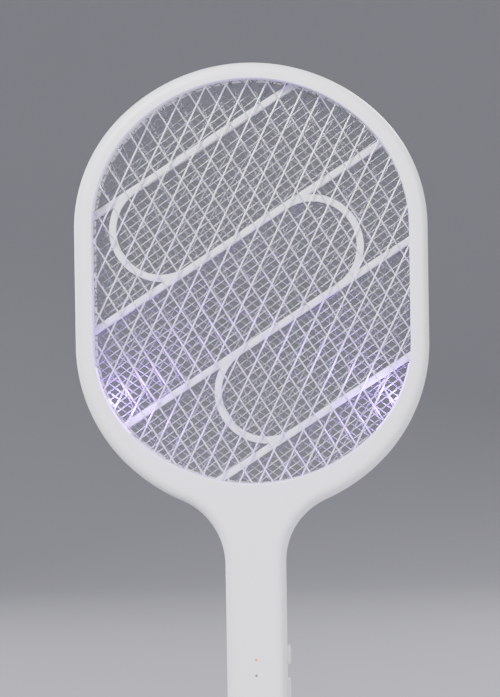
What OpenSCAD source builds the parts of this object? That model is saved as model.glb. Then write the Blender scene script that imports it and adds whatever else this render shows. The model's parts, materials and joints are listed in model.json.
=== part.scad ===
// Rechargeable electric fly swatter with three nets, ultraviolet lamps and two side controls.
// Upright: +Z runs from the end of the handle to the top of the head, the front faces -Y.
// Most pieces are drawn lying flat, with x to the right, y up the swatter and z to the front,
// and upright() then stands them up.

/* [Head] */
// Width over the ring
head_w = 210; // [170:1:260]
// Height of the round cap above the straight sides
head_top_h = 97.8; // [80:0.2:120]
// Height of the straight sides
head_side_h = 69.2; // [40:0.2:100]
// Height of the round cap below the straight sides
head_bottom_h = 101.4; // [84:0.2:122]
// Width of the opening
opening_w = 188.6; // [150:0.2:240]
// Height of the opening's upper cap
opening_top_h = 88.3; // [72:0.1:110]
// Height of the opening's lower cap
opening_bottom_h = 83; // [68:0.5:100]

/* [Handle] */
// Width of the handle
handle_w = 35.4; // [32:0.2:44]
// Length of the straight part of the handle
handle_l = 192; // [180:1:260]
// Radius of the flare between handle and head
neck_r = 42; // [30:1:60]
// Corner radius at the end of the handle
end_r = 10; // [9.5:0.5:13]

/* [Shells] */
// Thickness of the swatter, front to back
depth = 28; // [26:0.5:36]
// Wall of both shells
wall = 2.2; // [1.6:0.1:2.6]
// Radius of the rolled outer edge
edge_r = 7; // [5:0.5:9]
// Wall around the opening
lip_wall = 1.6; // [1.2:0.1:2]

/* [Nets] */
// Distance between the middle planes of two nets
net_pitch = 5; // [4.6:0.1:5.6]
// Diameter of the outer nets' wires
wire_d = 0.8; // [0.6:0.05:1]
// Diameter of the middle net's wires
fine_wire_d = 0.6; // [0.4:0.05:0.8]
// Spacing of the outer nets' wires, across the wires
coarse_pitch = 10.7; // [9:0.1:13]
// Angle of the outer nets' wires from the net's own cross axis
coarse_angle = 60.8; // [50:0.1:70]
// Turn of the front net's cross axis in its plane
coarse_turn = 3.4; // [-5:0.1:5]
// Spacing of the middle net's wires, across the wires
fine_pitch = 4.2; // [3.6:0.1:6]
// Angle of the middle net's wires from the cross axis
fine_angle = 35.7; // [30:0.1:45]

/* [Ribs] */
// Width of the ribs between the nets
rib_w = 4; // [3:0.1:5]
// Angle of the straight ribs
rib_angle = 32.3; // [20:0.1:40]
// Spacing of the straight ribs
rib_pitch = 57.6; // [50:0.1:66]

/* [Controls] */
// Length of the mode switch knob
knob_l = 11.7; // [9:0.1:14]
// Height of the knob's middle on the handle
knob_y = 137.5; // [130:0.5:145]
// Travel of the mode switch knob
knob_travel = 4; // [2:0.5:5]
// Length of the trigger button
trigger_l = 22.2; // [16:0.2:24]
// Height of the trigger button's middle on the handle
trigger_y = 112.6; // [106:0.2:116]
// Travel of the trigger button
trigger_travel = 1.2; // [0.8:0.1:1.4]
// Width of both controls, front to back
control_w = 6.6; // [5:0.1:8]
// How far both controls stand out of the handle
control_proud = 2; // [1:0.1:3]

/* [Battery] */
// Diameter of the cell
cell_d = 18.4; // [14:0.1:18.8]
// Length of the cell
cell_l = 65.2; // [50:0.1:66]

/* [Hanging hole] */
// Radius of the hole for a wrist cord
cord_hole_r = 1.6; // [1.2:0.1:1.9]

/* [Hidden] */

$fn = 64;
eps = 0.01;
fit = 0.05;        // pieces that locate each other
gap = 0.3;         // pieces that pass each other

half_w = head_w / 2;
half_open = opening_w / 2;
half_grip = handle_w / 2;
half_d = depth / 2;

// An oval cap of half width a and height b is two corner arcs and a crown arc that meet at 45 degrees
function cap_step(a, b) = (a - b) / (sqrt(2) - 1);
function corner_r(a, b) = a - cap_step(a, b) * sin(45);
function crown_r(a, b) = corner_r(a, b) + cap_step(a, b);

top_corner = corner_r(half_w, head_top_h);
top_crown = crown_r(half_w, head_top_h);
low_corner = corner_r(half_w, head_bottom_h);
low_crown = crown_r(half_w, head_bottom_h);

// The flare touches the handle at handle_l and the lower crown arc at flare_a
flare_x = half_grip + neck_r;
low_crown_y = handle_l + sqrt(pow(neck_r + low_crown, 2) - pow(flare_x, 2));
flare_a = atan2(handle_l - low_crown_y, flare_x);
side_y0 = low_crown_y + head_bottom_h - low_crown;
side_y1 = side_y0 + head_side_h;
mid_y = (side_y0 + side_y1) / 2;
open_low_y = side_y0 - opening_bottom_h;

// Layers through the thickness, front to back: net, rib frame, net, rib frame, net
net_half = wire_d + 0.1;            // half of a net's rim
stack_half = net_pitch + net_half + 0.1;
rib_z0 = net_half + 0.1;
rib_z1 = net_pitch - net_half - 0.1;
rim_in = 0.8;                       // the nets' rims stand back from the opening
rim_out = 3.4;
frame_out = 6;                      // the rib frames reach further into the ring

// Inside the handle
cavity_x = half_grip - wall;
cavity_z = half_d - wall;
board_t = 1.6;
board_z = -4;                       // underside of the main board
board_top = board_z + board_t;
board_x0 = -cavity_x + 1;
cell_y0 = 17;
cell_y1 = cell_y0 + cell_l;
board_y0 = cell_y1 + 10.8;
board_y1 = handle_l - 4;
control_x = half_grip + control_proud;
flange_x1 = cavity_x - gap;         // outer face of the flange inside each control
flange_t = 1.4;
flange_x0 = flange_x1 - flange_t;
flange_rim = 1.2;
board_x1 = flange_x0 - trigger_travel - gap;
window_half = control_w / 2 + gap;

// The chassis plates and their posts stand where the shells are flat inside. Screws are given by x, y
flat_x = half_grip - edge_r;
chassis_t = 1.2;
chassis_x = flat_x - 0.2;
chassis_y0 = end_r;
chassis_y1 = handle_l + 9;
spine_x = 4.5;                      // half width of the plates above the handle
post_r = 2.8;
post_x = flat_x - post_r - 0.2;
lead_x = post_x + post_r + 2.1;      // leads pass the posts on their outer side
screw_r = 1.15;
screw_head_r = 2.1;
cord_boss_r = cord_hole_r + 1.4;
cord_hole_at = [-(flat_x - cord_boss_r - 0.2), edge_r + cord_boss_r + 0.6];
end_screw_y = edge_r + post_r + 3.6;
mid_screw_y = cell_y1 + 5.8;
neck_screw_x = half_grip - 0.4;
neck_screw_y = handle_l + 30;
screw_seat = 7;                     // depth behind the parting plane where the heads seat
screw_head_h = 1.8;
screw_tip_z = half_d - wall - 3;
screw_at = [
    [post_x, end_screw_y],
    [-post_x, mid_screw_y], [post_x, mid_screw_y],
    [-post_x, handle_l + 5], [post_x, handle_l + 5],
    [-neck_screw_x, neck_screw_y], [neck_screw_x, neck_screw_y]
];

// Lamps sit along the lower corner arcs of the opening
lamp_c = [half_open - corner_r(half_open, opening_bottom_h), side_y0];
lamp_r = corner_r(half_open, opening_bottom_h);
lamp_a0 = -44;
lamp_a1 = -10;
lamp_z0 = stack_half + 1.1;         // rear edge of the lamp window
lamp_z1 = half_d - wall - 0.6;
led_count = 5;

// Charge socket in the end of the handle
socket_w = 9;
socket_h = 3.2;
socket_l = 7.4;

// --- Outlines ---

function arc_points(c, r, from, to, n, last = 0) =
    [for (i = [0 : n - 1 + last]) let (a = from + (to - from) * i / n) c + r * [cos(a), sin(a)]];

function mirrored(points) = [for (i = [len(points) - 1 : -1 : 0]) [-points[i][0], points[i][1]]];

// Oval of the opening, grown outwards
function oval_right(grow, n = 10) =
    let (
        low = corner_r(half_open, opening_bottom_h),
        high = corner_r(half_open, opening_top_h),
        low_c = crown_r(half_open, opening_bottom_h),
        high_c = crown_r(half_open, opening_top_h)
    )
    concat(
        [[0, open_low_y - grow]],
        [for (p = arc_points([0, open_low_y + low_c], low_c + grow, -90, -45, n)) if (p[0] > 1) p],
        arc_points([half_open - low, side_y0], low + grow, -45, 0, n, 1),
        arc_points([half_open - high, side_y1], high + grow, 0, 45, n),
        arc_points([0, side_y1 + opening_top_h - high_c], high_c + grow, 45, 90, n)
    );

function oval_points(grow) =
    let (right = oval_right(grow), top = [[0, side_y1 + opening_top_h + grow]])
    concat(right, top, [for (p = mirrored(right)) if (p[0] < 0) p]);

// Outline of the whole swatter, moved inwards
function outline_right(inset, n = 10) = concat(
    arc_points([half_grip - end_r, end_r], end_r - inset, -90, 0, n, 1),
    arc_points([flare_x, handle_l], neck_r + inset, 180, flare_a + 180, n),
    arc_points([0, low_crown_y], low_crown - inset, flare_a, -45, n),
    arc_points([half_w - low_corner, side_y0], low_corner - inset, -45, 0, n, 1),
    arc_points([half_w - top_corner, side_y1], top_corner - inset, 0, 45, n),
    arc_points([0, side_y1 + head_top_h - top_crown], top_crown - inset, 45, 90, n)
);

function outline_points(inset) =
    let (right = outline_right(inset))
    concat(right, [[0, side_y1 + head_top_h - inset]], mirrored(right));

module upright() {
    rotate([90, 0, 0])
        children();
}

module oval_ring(out, in, z0, z1) {
    translate([0, 0, z0])
        linear_extrude(height = z1 - z0)
            difference() {
                polygon(oval_points(out));
                polygon(oval_points(in));
            }
}

module box(x0, x1, y0, y1, z0, z1) {
    translate([x0, y0, z0])
        cube([x1 - x0, y1 - y0, z1 - z0]);
}

module post(at, r, z0, z1) {
    translate([at[0], at[1], z0])
        cylinder(r = r, h = z1 - z0);
}

// A bar with round ends, standing along z
module pill(x0, x1, y0, y1, z0, z1) {
    r = (x1 - x0) / 2;
    translate([0, 0, z0])
        linear_extrude(height = z1 - z0) {
            translate([x0, y0 + r])
                square([x1 - x0, y1 - y0 - 2 * r]);
            for (y = [y0 + r, y1 - r])
                translate([x0 + r, y])
                    circle(r);
        }
}

// --- Shells ---

// Inset and depth of each layer of a skin whose outer edge is rolled
function rolled_layers(inset, low, r, steps = 5) = concat(
    [[inset, low]],
    [for (i = [0 : steps]) let (a = 90 * i / steps)
        [inset + r * (1 - cos(a)), half_d - edge_r + r * sin(a)]]
);

// Strips across a layer of n points, from its right half to its left half
function cap_faces(first, n) =
    let (top = (n - 1) / 2)
    concat(
        [for (k = [0 : top - 2]) [first + k, first + k + 1, first + n - 2 - k, first + n - 1 - k]],
        [[first + top - 1, first + top, first + top + 1]]
    );

function flipped(faces) = [for (f = faces) [for (k = [len(f) - 1 : -1 : 0]) f[k]]];

// Solid through the outline at each layer
module skin(layers) {
    n = len(outline_points(0));
    polyhedron(
        points = [for (l = layers, p = outline_points(l[0])) [p[0], p[1], l[1]]],
        faces = concat(
            cap_faces(0, n),
            [for (i = [0 : len(layers) - 2], k = [0 : n - 1])
                let (a = i * n + k, b = i * n + (k + 1) % n)
                [a + n, b + n, b, a]],
            flipped(cap_faces((len(layers) - 1) * n, n))
        )
    );
}

// Half shell, open at z = 0 and closed towards +z, with a lip around the opening
module half_shell() {
    difference() {
        skin(rolled_layers(0, 0, edge_r));
        difference() {
            skin(rolled_layers(wall, -1, edge_r - wall));
            oval_ring(lip_wall, -1, stack_half, half_d);
        }
        translate([0, 0, -1])
            linear_extrude(height = half_d + 2)
                polygon(oval_points(0));
    }
}

module control_window(y0, y1) {
    box(cavity_x - wall, half_grip + 1, y0, y1, -window_half, window_half);
}

module shell_windows() {
    control_window(knob_y - knob_l / 2 - gap, knob_y + knob_l / 2 + knob_travel + gap);
    control_window(trigger_y - trigger_l / 2 - gap, trigger_y + trigger_l / 2 + gap);
    box(-socket_w / 2 - fit, socket_w / 2 + fit, -1, wall + 1,
        -socket_h / 2 - fit, socket_h / 2 + fit);
}

module lamp_cutout(grow) {
    for (side = [0, 1])
        mirror([side, 0, 0])
            translate([lamp_c[0], lamp_c[1], lamp_z0 - grow])
                rotate([0, 0, lamp_a0 - grow])
                    rotate_extrude(angle = lamp_a1 - lamp_a0 + 2 * grow)
                        translate([lamp_r - 2, 0])
                            square([lip_wall + 3, lamp_z1 - lamp_z0 + 2 * grow]);
}

module front_shell() {
    color("white")
        upright()
            difference() {
                half_shell();
                post(cord_hole_at, cord_hole_r, -1, half_d + 1);
                for (y = indicator_ys)
                    post([0, y], pipe_tip_r + fit, 0, half_d + 1);
                shell_windows();
                lamp_cutout(0.1);
            }
}

module rear_shell() {
    color("white")
        upright()
            difference() {
                rotate([0, 180, 0])
                    half_shell();
                post(cord_hole_at, cord_hole_r, -half_d - 1, 1);
                for (at = screw_at)
                    post(at, screw_head_r + 0.2, -half_d - 1, -cavity_z + 1);
                shell_windows();
            }
}

// --- Chassis: a plate along the flat inside of each shell, with the posts that clamp the shells ---

module half_chassis() {
    translate([0, 0, cavity_z - chassis_t])
        linear_extrude(height = chassis_t) {
            translate([-chassis_x, chassis_y0])
                square([2 * chassis_x, chassis_y1 - chassis_y0]);
            translate([-spine_x, chassis_y1 - 1])
                square([2 * spine_x, neck_screw_y + spine_x / 3 - chassis_y1 + 1]);
            translate([-neck_screw_x, neck_screw_y - spine_x / 3])
                square([2 * neck_screw_x, 2 * spine_x / 3]);
        }
    for (at = screw_at)
        post(at, post_r, 0, cavity_z);
    post(cord_hole_at, cord_boss_r, 0, cavity_z);
}

module front_chassis() {
    color("whitesmoke")
        upright()
            difference() {
                union() {
                    half_chassis();
                    for (y = indicator_ys)
                        post([0, y], pipe_r + 1.2, cavity_z - 3, cavity_z);
                }
                for (at = screw_at)
                    post(at, screw_r, -1, screw_tip_z + 1);
                post(cord_hole_at, cord_hole_r, -1, half_d);
                for (y = indicator_ys)
                    post([0, y], pipe_r + fit, 0, half_d);
            }
}

// A saddle that the cell rests in
module cell_cradle(y) {
    difference() {
        box(-chassis_x, chassis_x, y - 0.8, y + 0.8, cell_d / 4, cavity_z - chassis_t + eps);
        translate([0, y + 2, 0])
            rotate([90, 0, 0])
                cylinder(r = cell_d / 2 + fit, h = 4);
    }
}

module rear_chassis() {
    color("whitesmoke")
        upright()
            mirror([0, 0, 1])
                difference() {
                    union() {
                        half_chassis();
                        for (y = [cell_y0 + 12, (cell_y0 + cell_y1) / 2, cell_y1 - 12])
                            cell_cradle(y);
                        for (x = [-8, 6], y = [board_y0 + 8, board_y1 - 10])
                            post([x, y], 1.6, -board_z, cavity_z - chassis_t / 2);
                    }
                    for (at = screw_at) {
                        post(at, screw_r + 0.15, -1, half_d);
                        post(at, screw_head_r + 0.2, screw_seat, half_d);
                    }
                    post(cord_hole_at, cord_hole_r, -1, half_d);
                }
}

// --- Nets and ribs ---

// Distance from a point inside the opening to its edge, going along a unit vector.
// The caps count as half ellipses, grown by "grow"
function reach(p, d, grow) =
    let (
        a = half_open + grow,
        side = abs(d[0]) < 0.001 ? 1000 : (sign(d[0]) * a - p[0]) / d[0],
        y = p[1] + side * d[1],
        up = y > side_y1,
        b = (up ? opening_top_h : opening_bottom_h) + grow,
        c = up ? side_y1 : side_y0
    )
    (y <= side_y1 && y >= side_y0) ? side :
    let (
        // (px + t dx)^2 / a^2 + (py - c + t dy)^2 / b^2 = 1
        qa = pow(d[0] / a, 2) + pow(d[1] / b, 2),
        qb = p[0] * d[0] / (a * a) + (p[1] - c) * d[1] / (b * b),
        qc = pow(p[0] / a, 2) + pow((p[1] - c) / b, 2) - 1
    )
    (-qb + sqrt(max(0, qb * qb - qa * qc))) / qa;

// A row of parallel wires at an angle, each long enough to end inside the rim
module wire_row(angle, pitch, d, z) {
    along = [cos(angle), sin(angle)];
    across = [-sin(angle), cos(angle)];
    half_row = norm([half_open * across[0], (opening_top_h + head_side_h / 2) * across[1]]);
    count = floor(half_row / pitch);
    for (i = [-count : count]) {
        p = nearest_inside([0, mid_y] + i * pitch * across, along);
        a = reach(p, -along, wire_seat);
        b = reach(p, along, wire_seat);
        if (a + b > 3 * wire_seat)
            translate([p[0] - a * along[0], p[1] - a * along[1], z])
                rotate([0, 90, angle])
                    cylinder(d = d, h = a + b, $fn = 16);
    }
}

// The middle of the chord that a wire's line cuts from the opening's bounding lozenge
function nearest_inside(p, d) =
    let (t = -(p[0] * d[0] / pow(half_open, 2) + (p[1] - mid_y) * d[1] / pow(half_high, 2)) /
        (pow(d[0] / half_open, 2) + pow(d[1] / half_high, 2)))
    p + t * d;

half_high = head_side_h / 2 + (opening_top_h + opening_bottom_h) / 2;
wire_seat = 2.1;                    // wires end this far outside the opening

module net(angle, turn, pitch, d, z) {
    level = d / 2 + 0.03;
    upright() {
        oval_ring(rim_out, rim_in, z - d - 0.1, z + d + 0.1);
        wire_row(turn + angle, pitch, d, z + level);
        wire_row(turn - angle, pitch, d, z - level);
    }
}

module front_net() {
    color("silver") net(coarse_angle, coarse_turn, coarse_pitch, wire_d, net_pitch);
}

module hv_net() {
    color("gray") net(fine_angle, 0, fine_pitch, fine_wire_d, 0);
}

module rear_net() {
    color("silver") net(coarse_angle, -coarse_turn, coarse_pitch, wire_d, -net_pitch);
}

// Straight ribs at these offsets across the ribs, joined by U turns at these places along them
rib_offsets = [-1.5, -0.5, 0.5, 1.5] * rib_pitch;
turn_places = [[-27, -1], [43, 0], [-27, 1]];

module rib(offset) {
    along = [cos(rib_angle), sin(rib_angle)];
    across = [-sin(rib_angle), cos(rib_angle)];
    p = nearest_inside([0, mid_y] + offset * across, along);
    a = reach(p, -along, wire_seat);
    b = reach(p, along, wire_seat);
    translate(p - a * along)
        rotate(rib_angle)
            translate([0, -rib_w / 2])
                square([a + b, rib_w]);
}

module u_turn(place, index) {
    r = rib_pitch / 2;
    rotate(rib_angle)
        translate([place, index * rib_pitch])
            difference() {
                circle(r + rib_w / 2, $fn = 96);
                circle(r - rib_w / 2, $fn = 96);
                if (place < 0)
                    translate([0, -2 * r]) square([2 * r, 4 * r]);
                else
                    translate([-2 * r, -2 * r]) square([2 * r, 4 * r]);
            }
}

module rib_frame(z0, z1, with_turns) {
    upright() {
        oval_ring(frame_out, 0, z0, z1);
        translate([0, 0, z0 + 0.1])
            linear_extrude(height = z1 - z0 - 0.2)
                union() {
                    for (offset = rib_offsets)
                        rib(offset);
                    if (with_turns)
                        translate([0, mid_y])
                            for (t = turn_places)
                                u_turn(t[0], t[1]);
                }
    }
}

module front_rib_frame() {
    color("whitesmoke") rib_frame(rib_z0, rib_z1, true);
}

module rear_rib_frame() {
    color("whitesmoke") rib_frame(-rib_z1, -rib_z0, false);
}

// --- Lamps ---

// A strip along the right lamp arc
module lamp_strip(r0, r1, z0, z1, a0, a1) {
    translate([lamp_c[0], lamp_c[1], z0])
        rotate([0, 0, a0])
            rotate_extrude(angle = a1 - a0, $fn = 180)
                translate([r0, 0])
                    square([r1 - r0, z1 - z0]);
}

module on_side(left) {
    upright()
        mirror([left ? 1 : 0, 0, 0])
            children();
}

lamp_flange_r = lamp_r + lip_wall + 0.05;
led_r0 = lamp_flange_r + 1.2;
led_r1 = led_r0 + 1.4;
lamp_board_r = led_r1 + 1;
lamp_mid_z = (lamp_z0 + lamp_z1) / 2;

module lamp_window() {
    lamp_strip(lamp_r - 0.6, lamp_flange_r, lamp_z0, lamp_z1, lamp_a0, lamp_a1);
    lamp_strip(lamp_flange_r, lamp_flange_r + 0.9, lamp_z0 - 0.8, lamp_z1 + 0.4,
               lamp_a0 - 1.5, lamp_a1 + 1.5);
}

module lamp_leds() {
    for (i = [0 : led_count - 1])
        translate([lamp_c[0], lamp_c[1], lamp_mid_z])
            rotate([0, 0, lamp_a0 + (i + 0.5) * (lamp_a1 - lamp_a0) / led_count]) {
                translate([led_r0 + 0.5, -1.4, -1.4])
                    cube([led_r1 - led_r0 - 0.5 - fit, 2.8, 2.8]);
                translate([led_r0, 0, 0])
                    rotate([0, 90, 0])
                        cylinder(r = 1.1, h = 0.5 + eps);
            }
}

module lamp_board() {
    lamp_strip(led_r1, lamp_board_r, lamp_z0 - 0.4, lamp_z1 + 0.2, lamp_a0, lamp_a1);
}

module left_lamp_window() {
    color("mediumpurple") on_side(true) lamp_window();
}

module right_lamp_window() {
    color("mediumpurple") on_side(false) lamp_window();
}

module left_lamp_leds() {
    color("violet") on_side(true) lamp_leds();
}

module right_lamp_leds() {
    color("violet") on_side(false) lamp_leds();
}

module left_lamp_board() {
    color("darkgreen") on_side(true) lamp_board();
}

module right_lamp_board() {
    color("darkgreen") on_side(false) lamp_board();
}

// --- Electronics ---

// Gull wing legs along both long sides of a package
module legs(x, y0, pitch, count, z, length) {
    for (i = [0 : count - 1], side = [-1, 1])
        translate([side > 0 ? x : -x - length, y0 + i * pitch - 0.2, z])
            cube([length, 0.4, 0.4]);
}

module main_board() {
    color("darkgreen")
        upright()
            box(board_x0, board_x1, board_y0, board_y1, board_z, board_top);
}

trafo_y = board_y1 - 20;
trafo_w = 16;
trafo_l = 14;

// Two E cores around the bobbin, on the board
module transformer_core() {
    color("dimgray")
        upright()
            translate([-1, trafo_y, board_top + 1])
                difference() {
                    box(-trafo_w / 2, trafo_w / 2, -trafo_l / 2, trafo_l / 2, 2.5, 7.5);
                    for (side = [-1, 1])
                        translate([side * 4.6, 0, 0])
                            box(-1.6, 1.6, -trafo_l / 2 + 2.5, trafo_l / 2 - 2.5, 2, 8);
                }
}

module transformer_winding() {
    color("goldenrod")
        upright()
            translate([-1, trafo_y, board_top + 1])
                difference() {
                    union() {
                        for (y = [-4.4, 3.4])
                            box(-6.1, 6.1, y, y + 1, 0.5, 9.5);
                        box(-5.4, 5.4, -4, 4, 1.2, 8.8);
                        for (x = [-5, 0, 5], y = [-3.9, 3.9])
                            post([x, y], 0.35, -1, 1.5);
                    }
                    box(-3 - fit, 3 + fit, -5, 5, 2.5 - fit, 7.5 + fit);
                    for (side = [-1, 1])
                        box(side > 0 ? 6.2 - fit : -9, side > 0 ? 9 : -6.2 + fit, -5, 5, 2.4, 7.6);
                }
}

cap_w = 5.4;
cap_l = 12;
cap_h = 9;
cap_y = trafo_y - trafo_l / 2 - 3 - cap_l / 2;

module hv_capacitors() {
    color("firebrick")
        upright()
            for (i = [0 : 2])
                translate([-10.5 + i * (cap_w + 1), cap_y, board_top]) {
                    box(-cap_w / 2, cap_w / 2, -cap_l / 2, cap_l / 2, 0.4, cap_h);
                    for (y = [-cap_l / 2 + 1.5, cap_l / 2 - 1.5])
                        post([0, y], 0.35, 0, 0.5);
                }
}

// An axial part lying along x on two bent legs
module axial(x, y, r, length) {
    span = length / 2 + 1.4;
    translate([x, y, board_top + r + 0.3])
        rotate([0, 90, 0]) {
            translate([0, 0, -length / 2])
                cylinder(r = r, h = length);
            translate([0, 0, -span])
                cylinder(r = 0.3, h = 2 * span);
        }
    for (side = [-1, 1])
        post([x + side * (span - 0.3), y], 0.3, board_top, board_top + r + 0.3);
}

diode_y = cap_y - cap_l / 2 - 3;

module hv_diodes() {
    color("black")
        upright()
            for (i = [0 : 3])
                axial(-8, diode_y - 3.6 * i, 1.35, 5.2);
}

module bleed_resistor() {
    color("tan")
        upright()
            axial(-8, diode_y - 3.6 * 4 - 0.4, 1.2, 6.3);
}

module switching_transistor() {
    color("black")
        upright()
            translate([-8, board_y0 + 14, board_top]) {
                box(-4, 4, -1.6, 1.6, 2, 12);
                for (x = [-2.3, 0, 2.3])
                    box(x - 0.35, x + 0.35, -0.25, 0.25, 0, 2.1);
            }
}

module controller_chip() {
    color("black")
        upright()
            translate([1, board_y0 + 15, board_top]) {
                box(-1.95, 1.95, -2.45, 2.45, 0.15, 1.6);
                legs(1.9, -1.9, 1.27, 4, 0.1, 1.1);
                legs(3, -1.9, 1.27, 4, 0, 0.1 + eps);
            }
}

indicator_ys = [knob_y - 1.5, knob_y - 10.8];
pipe_r = 1.6;
pipe_tip_r = 0.8;
indicator_top = board_top + 1.2;

module indicator_leds() {
    color("red")
        upright()
            for (y = indicator_ys)
                box(-1, 1, y - 0.6, y + 0.6, board_top, indicator_top);
}

module indicator_pipes() {
    color("whitesmoke")
        upright()
            for (y = indicator_ys) {
                post([0, y], pipe_r, indicator_top + 0.3, half_d - wall - fit);
                post([0, y], pipe_tip_r, half_d - wall - 0.1, half_d + 0.1);
            }
}

// --- Controls ---

switch_x0 = flange_x0 - 5.9;
switch_x1 = flange_x0 - 2;
lever_half = 1.5;

module mode_switch_body() {
    color("silver")
        upright()
            difference() {
                box(switch_x0, switch_x1, knob_y - 8, knob_y + 8 + knob_travel / 2, board_top, 3.3);
                box(switch_x1 - 1, switch_x1 + 1, knob_y - lever_half - gap,
                    knob_y + lever_half + knob_travel + gap, -1.3, 1.3);
            }
}

module mode_switch_lever() {
    color("black")
        upright()
            box(switch_x1 - 0.7, flange_x0 + 0.8, knob_y - lever_half, knob_y + lever_half, -1, 1);
}

module control_cap(y0, y1) {
    translate([flange_x1 - eps, 0, 0])
        rotate([0, 90, 0])
            pill(-control_w / 2, control_w / 2, y0, y1, 0, control_x - flange_x1);
}

module mode_switch_knob() {
    color("white")
        upright()
            difference() {
                union() {
                    control_cap(knob_y - knob_l / 2, knob_y + knob_l / 2);
                    box(flange_x0, flange_x1, knob_y - knob_l / 2 - knob_travel - flange_rim,
                        knob_y + knob_l / 2 + knob_travel + flange_rim,
                        -control_w / 2 - flange_rim, control_w / 2 + flange_rim);
                    for (i = [-1 : 1])
                        box(control_x - 0.5, control_x + 0.4, knob_y + 2.4 * i - 0.5, knob_y + 2.4 * i + 0.5,
                            -control_w / 2 + 1.4, control_w / 2 - 1.4);
                }
                box(flange_x0 - 1, flange_x0 + 0.8 + fit, knob_y - lever_half - fit,
                    knob_y + lever_half + fit, -1 - fit, 1 + fit);
            }
}

plunger_r = 1.7;
trigger_body = 6;
spring_r = 1.5;
spring_wire_r = 0.2;
spring_turns = 5;
spring_x0 = switch_x0 + 1;
spring_y = trigger_y - trigger_l / 2 + 3;
seat_h = 3;

module trigger_switch() {
    color("silver")
        upright() {
            box(switch_x0 - 0.1, flange_x0 - 2.4, trigger_y - trigger_body / 2, trigger_y + trigger_body / 2,
                board_top, board_top + trigger_body);
            box(switch_x0, spring_x0, spring_y - seat_h, spring_y + 2, board_top, 2);
        }
}

module trigger_plunger() {
    color("black")
        upright()
            translate([flange_x0 - 2.4, trigger_y, board_top + trigger_body / 2])
                rotate([0, 90, 0])
                    cylinder(r = plunger_r, h = 0.9);
}

module trigger_button() {
    color("white")
        upright() {
            control_cap(trigger_y - trigger_l / 2, trigger_y + trigger_l / 2);
            box(flange_x0, flange_x1, trigger_y - trigger_l / 2 - flange_rim,
                trigger_y + trigger_l / 2 + flange_rim,
                -control_w / 2 - flange_rim, control_w / 2 + flange_rim);
        }
}

// --- Swept wires: one polyhedron along a list of points ---

function unit(v) = v / norm(v);

function tangent(points, i) =
    unit(points[min(i + 1, len(points) - 1)] - points[max(i - 1, 0)]);

function ring(points, i, r, sides, up) =
    let (t = tangent(points, i), side = unit(cross(up, t)), top = cross(t, side))
    [for (k = [0 : sides - 1]) points[i] + r * (cos(360 * k / sides) * side + sin(360 * k / sides) * top)];

module tube(points, r, sides = 8, up = [0, 0, 1]) {
    n = len(points);
    polyhedron(
        points = [for (i = [0 : n - 1]) each ring(points, i, r, sides, up)],
        faces = concat(
            [[for (k = [0 : sides - 1]) k]],
            [for (i = [0 : n - 2], k = [0 : sides - 1])
                let (a = i * sides + k, b = i * sides + (k + 1) % sides)
                [a + sides, b + sides, b, a]],
            [[for (k = [0 : sides - 1]) n * sides - 1 - k]]
        )
    );
}

// Smooth curve through hand-set points
function spline_point(p, i, t) =
    let (
        a = p[max(i - 1, 0)],
        b = p[i],
        c = p[i + 1],
        d = p[min(i + 2, len(p) - 1)]
    )
    b + 0.5 * t * (c - a + t * (2 * a - 5 * b + 4 * c - d + t * (3 * (b - c) + d - a)));

function smooth(p, steps = 4) = concat(
    [for (i = [0 : len(p) - 2], s = [0 : steps - 1]) spline_point(p, i, s / steps)],
    [p[len(p) - 1]]
);

function helix(from, length, r, turns, steps = 10) =
    [for (i = [0 : turns * steps])
        from + [length * i / (turns * steps), r * cos(360 * i / steps), r * sin(360 * i / steps)]];

module trigger_spring() {
    color("silver")
        upright()
            tube(helix([spring_x0 + spring_wire_r, spring_y, 0],
                       flange_x0 - spring_x0 - 2 * spring_wire_r, spring_r, spring_turns),
                 spring_wire_r, 6, [1, 0, 0]);
}

// --- Power ---

module battery_cell() {
    color("royalblue")
        upright()
            translate([0, cell_y1, 0])
                rotate([90, 0, 0]) {
                    cylinder(d = cell_d, h = cell_l);
                    translate([0, 0, -0.6])
                        cylinder(d = cell_d / 3, h = 1);
                }
}

module battery_tabs() {
    color("silver")
        upright() {
            box(-2.5, 2.5, cell_y1 + 0.6, cell_y1 + 0.8, -3, 8);
            box(-2.5, 2.5, cell_y0 - 0.2, cell_y0, -3, 8);
        }
}

module charge_board() {
    color("darkgreen")
        upright()
            box(-4.2, 4.2, wall + 0.4, cell_y0 - 1.2, -socket_h / 2 - 1.2, -socket_h / 2);
}

module charge_socket() {
    color("silver")
        upright()
            difference() {
                box(-socket_w / 2, socket_w / 2, 0.3, socket_l, -socket_h / 2, socket_h / 2);
                box(-socket_w / 2 + 0.4, socket_w / 2 - 0.4, -1, socket_l - 1.2, -socket_h / 2 + 0.4, -0.35);
                box(-socket_w / 2 + 0.4, socket_w / 2 - 0.4, -1, socket_l - 1.2, 0.35, socket_h / 2 - 0.4);
                box(-socket_w / 2 + 0.4, -3.3, -1, socket_l - 1.2, -0.4, 0.4);
                box(3.3, socket_w / 2 - 0.4, -1, socket_l - 1.2, -0.4, 0.4);
                box(-4, 4, -1, 1.3, -0.4, 0.4);
            }
}

// --- Fasteners, terminals and leads ---

module shell_screws() {
    color("silver")
        upright()
            for (at = screw_at) {
                difference() {
                    post(at, screw_head_r, -screw_seat - screw_head_h, -screw_seat);
                    for (turn = [0, 90])
                        translate([at[0], at[1], -screw_seat - screw_head_h])
                            rotate([0, 0, turn])
                                cube([2.4, 0.5, 1.6], center = true);
                }
                post(at, screw_r - 0.05, -screw_seat - eps, screw_tip_z);
            }
}

terminal_x = 5;
terminal_y0 = open_low_y - rim_out - 6;

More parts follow.
